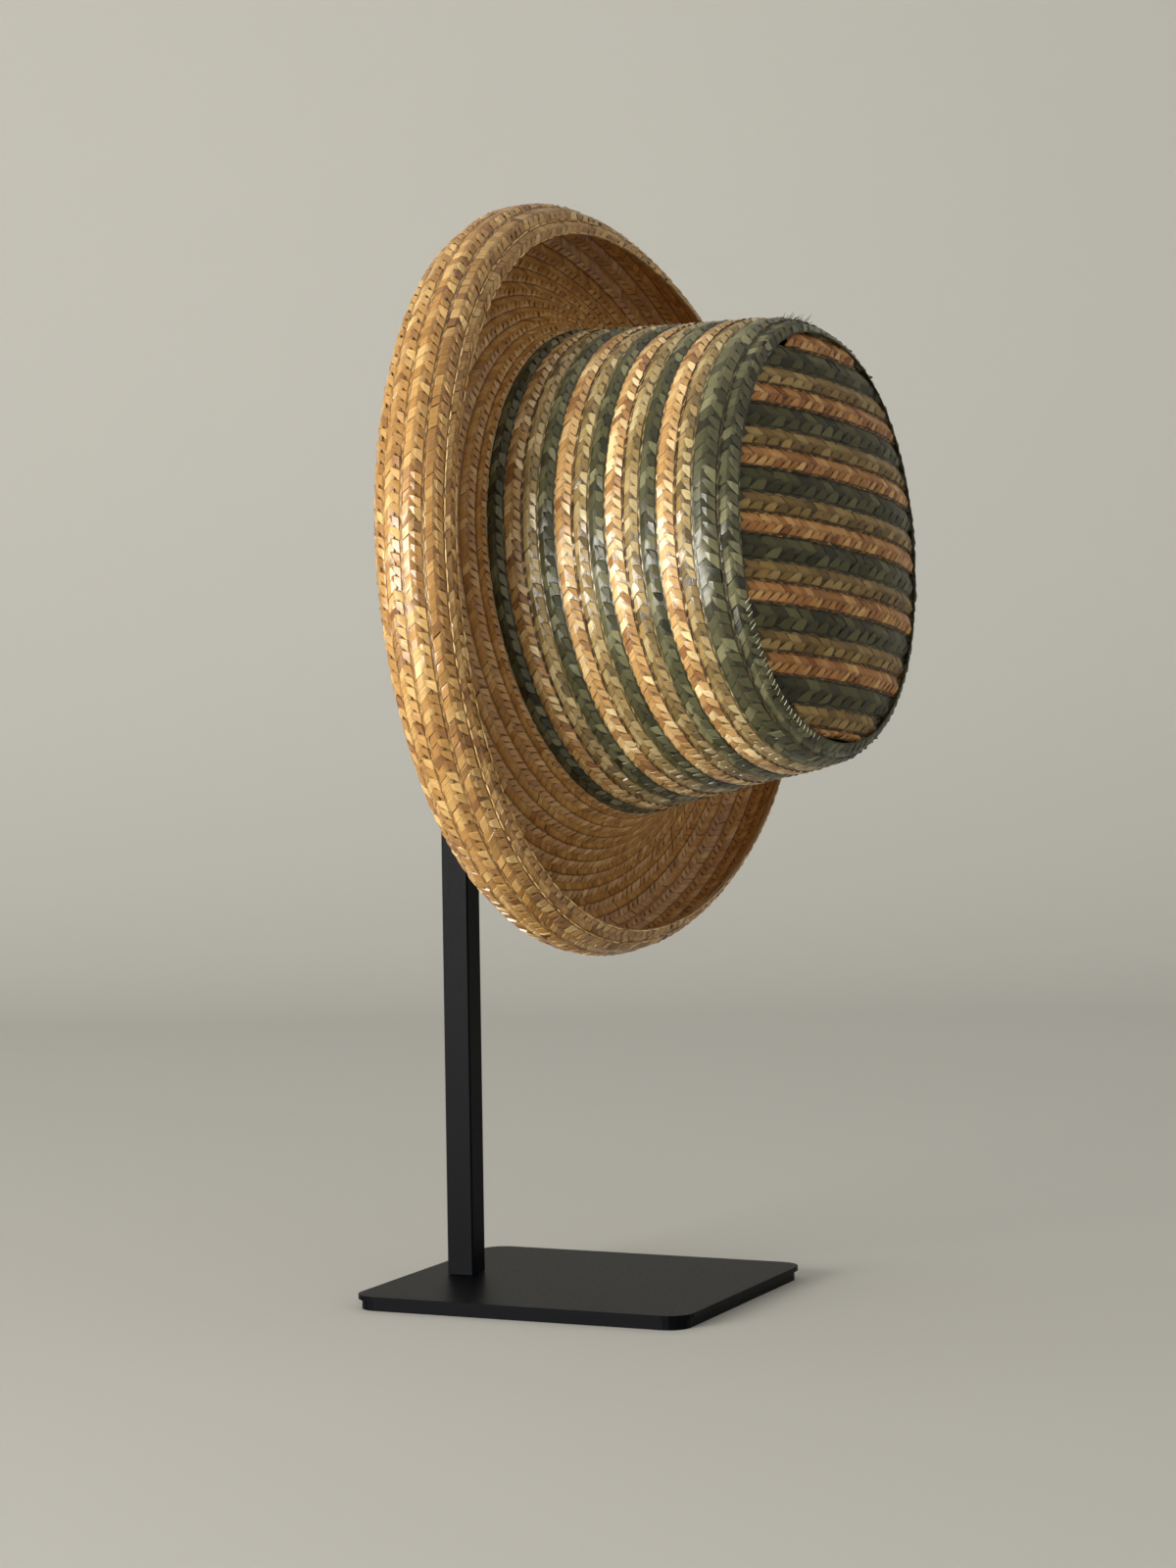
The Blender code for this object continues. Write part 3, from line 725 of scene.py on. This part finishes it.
def add_stitches(pile, surface, length, seam, start=0.0):
    """Sew a line of stitches along a plait."""
    count = max(1, int(length / (seam["dash"] + seam["gap"])))
    begin = start + (np.arange(count) + STITCH_START_SPREAD * random.random(count)) * length / count
    steps = np.linspace(0.0, 1.0, len(STITCH_PROFILE))[None, :]
    stretch = random.standard_normal((count, 1)).clip(-STITCH_LENGTH_LIMIT, STITCH_LENGTH_LIMIT)
    along = begin[:, None] + seam["dash"] * (1.0 + STITCH_LENGTH_SPREAD * stretch) * steps
    jitter = STITCH_PLACE_SPREAD * random.standard_normal((count, 1))
    place = seam["across"] + seam["wave"] * (steps - 0.5) + jitter
    arch = STITCH_ARCH * (1.0 - (2.0 * steps - 1.0) ** 2) - STITCH_SINK
    height = seam["out"] + seam["side"] * arch
    lines = surface(along, np.broadcast_to(place, along.shape), np.broadcast_to(height, along.shape))
    radii = seam["radius"] * np.array(STITCH_PROFILE)
    add_strands(pile, lines, np.broadcast_to(radii[None, :], along.shape))


def new_material(name):
    """Start a material and return it with its nodes, its links and its shader."""
    material = bpy.data.materials.new(name)
    material.use_nodes = True
    tree = material.node_tree
    return material, tree.nodes, tree.links, tree.nodes["Principled BSDF"]


def add_attribute(nodes, name):
    """Add a node that reads an attribute of the mesh."""
    node = nodes.new("ShaderNodeAttribute")
    node.attribute_name = name
    return node


def add_noise(nodes, links, place, scale, detail):
    """Add fine noise at a place."""
    noise = nodes.new("ShaderNodeTexNoise")
    noise.inputs["Scale"].default_value = scale
    noise.inputs["Detail"].default_value = detail
    links.new(place, noise.inputs["Vector"])
    return noise.outputs["Fac"]


def add_range(nodes, links, value, given, wanted):
    """Add a node that maps a value from one range to another."""
    node = nodes.new("ShaderNodeMapRange")
    node.inputs["From Min"].default_value = given[0]
    node.inputs["From Max"].default_value = given[1]
    node.inputs["To Min"].default_value = wanted[0]
    node.inputs["To Max"].default_value = wanted[1]
    links.new(value, node.inputs["Value"])
    return node.outputs["Result"]


def add_bump(nodes, links, shader, height, strength, depth):
    """Add a bump to a shader."""
    bump = nodes.new("ShaderNodeBump")
    bump.inputs["Strength"].default_value = strength
    bump.inputs["Distance"].default_value = depth
    links.new(height, bump.inputs["Height"])
    links.new(bump.outputs["Normal"], shader.inputs["Normal"])


def straw_material(look):
    """Satin dyed straw: each straw has its own tone and fine streaks along it; painted shade darkens its
    hollows.
    """
    material, nodes, links, shader = new_material(look["name"])
    ramp = nodes.new("ShaderNodeValToRGB")
    ramp.color_ramp.elements[0].color = (*look["dark"], 1.0)
    ramp.color_ramp.elements[1].color = (*look["light"], 1.0)
    between = ramp.color_ramp.elements.new(MIDDLE_TONE)
    between.color = (*look["middle"], 1.0)
    links.new(add_attribute(nodes, "tone").outputs["Fac"], ramp.inputs["Fac"])
    stretch = nodes.new("ShaderNodeMapping")
    stretch.inputs["Scale"].default_value = STREAK_SCALE
    links.new(add_attribute(nodes, "straw").outputs["Vector"], stretch.inputs["Vector"])
    streaks = add_noise(nodes, links, stretch.outputs["Vector"], 1.0, STREAK_DETAIL)
    shades = add_range(nodes, links, streaks, STREAK_NOISE, STREAK_SHADES)
    # Painted shade: the hollow attribute darkens the colour between and under the straws and over the ribbon
    hollow = add_attribute(nodes, "hollow").outputs["Fac"]
    painted_hollow_shade = add_range(nodes, links, hollow, (0.0, 1.0), (1.0, look["hollow"]))
    both = nodes.new("ShaderNodeMath")
    both.operation = "MULTIPLY"
    links.new(shades, both.inputs[0])
    links.new(painted_hollow_shade, both.inputs[1])
    shaded = nodes.new("ShaderNodeVectorMath")
    shaded.operation = "SCALE"
    links.new(ramp.outputs["Color"], shaded.inputs[0])
    links.new(both.outputs["Value"], shaded.inputs["Scale"])
    links.new(shaded.outputs["Vector"], shader.inputs["Base Color"])
    roughness = [look["roughness"] + change for change in STREAK_ROUGHNESS]
    links.new(add_range(nodes, links, streaks, (0.0, 1.0), roughness), shader.inputs["Roughness"])
    shader.inputs["Specular IOR Level"].default_value = look["specular"]
    add_bump(nodes, links, shader, streaks, STREAK_BUMP, STREAK_BUMP_DEPTH)
    return material


def paint_material():
    """Satin black paint with a very fine grain."""
    material, nodes, links, shader = new_material("satin_black")
    shader.inputs["Base Color"].default_value = (*PAINT_COLOUR, 1.0)
    shader.inputs["Specular IOR Level"].default_value = PAINT_SPECULAR
    coordinates = nodes.new("ShaderNodeTexCoord")
    grain = add_noise(nodes, links, coordinates.outputs["Object"], PAINT_GRAIN, PAINT_DETAIL)
    links.new(add_range(nodes, links, grain, (0.0, 1.0), PAINT_ROUGHNESS), shader.inputs["Roughness"])
    add_bump(nodes, links, shader, grain, PAINT_BUMP, PAINT_BUMP_DEPTH)
    return material


MATERIALS = {key: straw_material(look) for key, look in STRAWS.items()}

turn = Matrix.Rotation(HAT_YAW, 4, "Z") @ Matrix.Rotation(math.pi / 2.0 - HAT_TILT, 4, "Y")
turn = turn @ Matrix.Rotation(math.pi - HAT_SPIN, 4, "Z")
hat_place = Matrix.Translation((HAT_X, HAT_Y, PLATE_TOP + HAT_HEIGHT)) @ turn


def dress_crown():
    """Weave the rows of the crown's side, its edge braid and the tip's binding."""
    rows = []
    for number, colour in enumerate(ROW_COLOURS * ROW_REPEATS):
        rows.append((f"crown_row_{number + 1:02d}", colour, ROW_WIDTHS[colour], CROWN_PITCHES[colour]))
    rows.append(("crown_edge_braid", "green", EDGE_BRAID_WIDTH, EDGE_BRAID_PITCH))
    rows.append(("tip_binding_braid", "green", BINDING_BRAID_WIDTH, BINDING_BRAID_PITCH))
    widths = [width for name, colour, width, pitch in rows]
    edges = [sum(widths[:count]) / sum(widths) for count in range(len(widths) + 1)]
    shares, side_length = crown_shares(edges)
    for number, (name, colour, width, pitch) in enumerate(rows):
        surface, length = crown_row_surface(shares[number], shares[number + 1])
        real_width = side_length * (edges[number + 1] - edges[number])
        pile = new_pile()
        add_ribbon(pile, surface, length)
        add_straws(pile, surface, length, real_width, pitch)
        add_straws(pile, surface, length, real_width, pitch, inner=True, fine=False)
        piece = make_piece(name + "_straw", pile, MATERIALS[colour], hat_place)
        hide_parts(name)
        if colour == "tan" or name == "crown_edge_braid":
            add_stitches(dark_seams, surface, length, SEAMS["crown"])
        if name == "crown_row_01":
            add_stitches(pale_seams, surface, length, SEAMS["collar"])
        if name == "tip_binding_braid":
            add_stitches(pale_seams, surface, BINDING_SEAM_PART * length, SEAMS["binding"],
                         start=BINDING_SEAM_START * length)


def dress_tip():
    """Weave the straight plaits of the tip."""
    reach = TIP_LONG * TIP_END_CHORD
    start = reach
    number = 0
    while start > -reach:
        colour = TIP_COLOURS[number % len(TIP_COLOURS)]
        end = start - TIP_WIDTHS[colour]
        if end < TIP_LEAST_WIDTH - reach:
            end = -reach
        surface = tip_surface(start, end + PIECE_GAP)
        middle = (start + end) / 2.0
        low = plait_end(middle, -1.0)
        length = plait_end(middle, 1.0) - low
        pitch = TIP_PITCHES[colour]
        pile = new_pile()
        add_ribbon(pile, surface, length, start=low, ring=False, sections=TIP_RIBBON_SECTIONS)
        add_straws(pile, surface, length, start - end, pitch, start=low, ring=False)
        add_straws(pile, surface, length, start - end, pitch, start=low, ring=False, inner=True, fine=False)
        name = f"tip_plait_{number + 1:02d}"
        # The tip takes darker copies of its straws, painted shade
        piece = make_piece(name + "_straw", pile, MATERIALS["tip_" + colour], hat_place)
        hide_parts(name)
        if colour != "green":
            add_stitches(dark_seams, surface, length, SEAMS["tip"], start=low)
        start = end
        number += 1


def brim_rows(width):
    """Return where each row of the brim starts and ends, from the free edge to the collar."""
    edges = [0.0, BRIM_EDGE_ROW]
    while edges[-1] + LEAST_ROOM * width < BRIM_LENGTH:
        edges.append(edges[-1] + width)
    edges.append(BRIM_LENGTH)
    return zip(edges[:-1], edges[1:])


def dress_brim():
    """Weave the rows of the brim, from the free edge of the roll to the collar."""
    outer = new_pile()
    for low, high in brim_rows(TROUGH_ROW):
        surface, length = brim_row_surface(low / BRIM_LENGTH, high / BRIM_LENGTH)
        add_straws(outer, surface, length, high - low, TROUGH_PITCH, fine=False, relief=TROUGH_RELIEF,
                   hollow=BRIM_HOLLOW, spread=TROUGH_TONE_SPREAD, loops=False)
    under = new_pile()
    for low, high in brim_rows(BRIM_ROW):
        surface, length = brim_row_surface(low / BRIM_LENGTH, high / BRIM_LENGTH)
        add_ribbon(outer, surface, length, sections=BRIM_RIBBON_SECTIONS, hollow=0.0, depth=BRIM_RIBBON_DEPTH)
        add_straws(under, surface, length, high - low, BRIM_PITCH, inner=True, hollow=BRIM_HOLLOW,
                   spread=BRIM_TONE_SPREAD)
    surface, length = brim_row_surface(0.0, BRIM_EDGE_ROW / BRIM_LENGTH)
    add_stitches(light_seams, surface, length, SEAMS["edge_row"])
    add_stitches(light_seams, surface, length, SEAMS["free_edge"])
    # The trough's straws and all the brim's ribbons take the lighter copy of the brim straw, painted light
    piece = make_piece("brim_straw", outer, MATERIALS["brim_trough_painted_light"], hat_place)
    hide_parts("brim_floor", "brim_roll", "brim_lip")
    piece = make_piece("brim_second_side_straw", under, MATERIALS["brim_tan"], hat_place)


def direction(share, angle, out, foot):
    """Return unit vectors from points on the crown towards points near them."""
    way = crown_place(share, angle, out) - foot
    return way / np.linalg.norm(way, axis=1, keepdims=True)


def add_loose_ends():
    """Add the loose straw ends that stick out of the binding at the crown's upper edge."""
    angle = LOOSE_ANGLE + LOOSE_ANGLE_SPREAD * random.standard_normal(LOOSE_ENDS)
    share = LOOSE_SHARE + LOOSE_SHARE_RANGE * random.random(LOOSE_ENDS)
    foot = crown_place(share, angle, LOOSE_FOOT)
    outwards = direction(share, angle, LOOSE_PROBE, foot)
    round_way = direction(share, angle + LOOSE_TURN, LOOSE_FOOT, foot)
    lean = random.standard_normal((LOOSE_ENDS, 1))
    length = LOOSE_LENGTH + LOOSE_LENGTH_RANGE * random.random((LOOSE_ENDS, 1))
    steps = np.linspace(0.0, 1.0, len(LOOSE_PROFILE))[None, :, None]
    straight = length * (LOOSE_OUTWARDS * outwards + (LOOSE_ROUND + LOOSE_LEAN * lean) * round_way)
    curl = length * LOOSE_CURL * np.abs(lean) * outwards
    lines = foot[:, None, :] + steps * straight[:, None, :] + steps ** 2 * curl[:, None, :]
    radii = LOOSE_RADIUS * np.array(LOOSE_PROFILE)
    pile = new_pile()
    add_strands(pile, lines, np.broadcast_to(radii[None, :], lines.shape[:2]), sides=LOOSE_SIDES)
    piece = make_piece("loose_straw_ends", pile, MATERIALS["green"], hat_place)


def set_stage():
    """Pale seamless floor and backdrop, and soft light from the front left."""
    profile = [(FLOOR_FRONT, 0.0)]
    for angle in np.linspace(0.0, math.pi / 2.0, SWEEP_STEPS):
        rise = SWEEP_RADIUS - SWEEP_RADIUS * math.cos(angle)
        profile.append((FLOOR_BACK + SWEEP_RADIUS * math.sin(angle), rise))
    profile.append((FLOOR_BACK + SWEEP_RADIUS, BACKDROP_TOP))
    count = len(profile)
    points = [(side, y, z) for side in (-FLOOR_HALF_WIDTH, FLOOR_HALF_WIDTH) for y, z in profile]
    faces = [(step, step + 1, count + step + 1, count + step) for step in range(count - 1)]
    sweep = bpy.data.meshes.new("floor")
    sweep.from_pydata(points, [], faces)
    sweep.shade_smooth()
    material, nodes, links, shader = new_material("pale_floor")
    shader.inputs["Base Color"].default_value = (*FLOOR_COLOUR, 1.0)
    shader.inputs["Roughness"].default_value = FLOOR_ROUGHNESS
    sweep.materials.append(material)
    floor = bpy.data.objects.new("floor", sweep)
    floor.rotation_euler = (0.0, 0.0, CAMERA_AZIMUTH)
    bpy.context.scene.collection.objects.link(floor)

    world = bpy.data.worlds.new("studio")
    world.use_nodes = True
    background = world.node_tree.nodes["Background"]
    background.inputs["Color"].default_value = (*WORLD_COLOUR, 1.0)
    background.inputs["Strength"].default_value = WORLD_STRENGTH
    bpy.context.scene.world = world
    bpy.context.scene.view_settings.view_transform = "Standard"
    for row in LAMPS:
        light = bpy.data.lights.new(row["name"], "AREA")
        light.size = row["size"]
        light.energy = row["power"]
        light.color = row["colour"]
        lamp = bpy.data.objects.new(row["name"], light)
        lamp.location = Matrix.Rotation(CAMERA_AZIMUTH, 3, "Z") @ Vector(row["place"])
        lamp.rotation_euler = (Vector(LAMP_AIM) - lamp.location).to_track_quat("-Z", "Y").to_euler()
        bpy.context.scene.collection.objects.link(lamp)


def set_camera():
    """Put the camera where the photograph was taken from."""
    sin_a, cos_a = math.sin(CAMERA_AZIMUTH), math.cos(CAMERA_AZIMUTH)
    ahead = math.cos(CAMERA_PITCH)
    forward = Vector((-sin_a * ahead, cos_a * ahead, -math.sin(CAMERA_PITCH)))
    level = Vector((cos_a, sin_a, 0.0))
    down = forward.cross(level)
    right = math.cos(CAMERA_ROLL) * level + math.sin(CAMERA_ROLL) * down
    below = math.cos(CAMERA_ROLL) * down - math.sin(CAMERA_ROLL) * level
    place = Vector((0.0, 0.0, PLATE_TOP))
    place -= right * CAMERA_SIDE + below * CAMERA_DROP + forward * CAMERA_DISTANCE
    camera = bpy.data.cameras.new("camera")
    camera.lens = CAMERA_LENS
    camera.sensor_width = CAMERA_SENSOR
    viewer = bpy.data.objects.new("camera", camera)
    axes = Matrix((right, -below, -forward)).transposed().to_4x4()
    viewer.matrix_world = Matrix.Translation(place) @ axes
    bpy.context.scene.collection.objects.link(viewer)
    bpy.context.scene.camera = viewer


light_seams = new_pile()
pale_seams = new_pile()
dark_seams = new_pile()
dress_crown()
dress_tip()
dress_brim()
seams = make_piece("light_sewing_thread", light_seams, MATERIALS["light_thread"], hat_place)
seams = make_piece("pale_sewing_thread", pale_seams, MATERIALS["pale_thread"], hat_place)
seams = make_piece("dark_sewing_thread", dark_seams, MATERIALS["dark_thread"], hat_place)
add_loose_ends()
black = paint_material()
for name in ("stand_plate", "stand_slab", "stand_post", "stand_head"):
    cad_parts[name].data.materials.clear()
    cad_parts[name].data.materials.append(black)
set_stage()
set_camera()
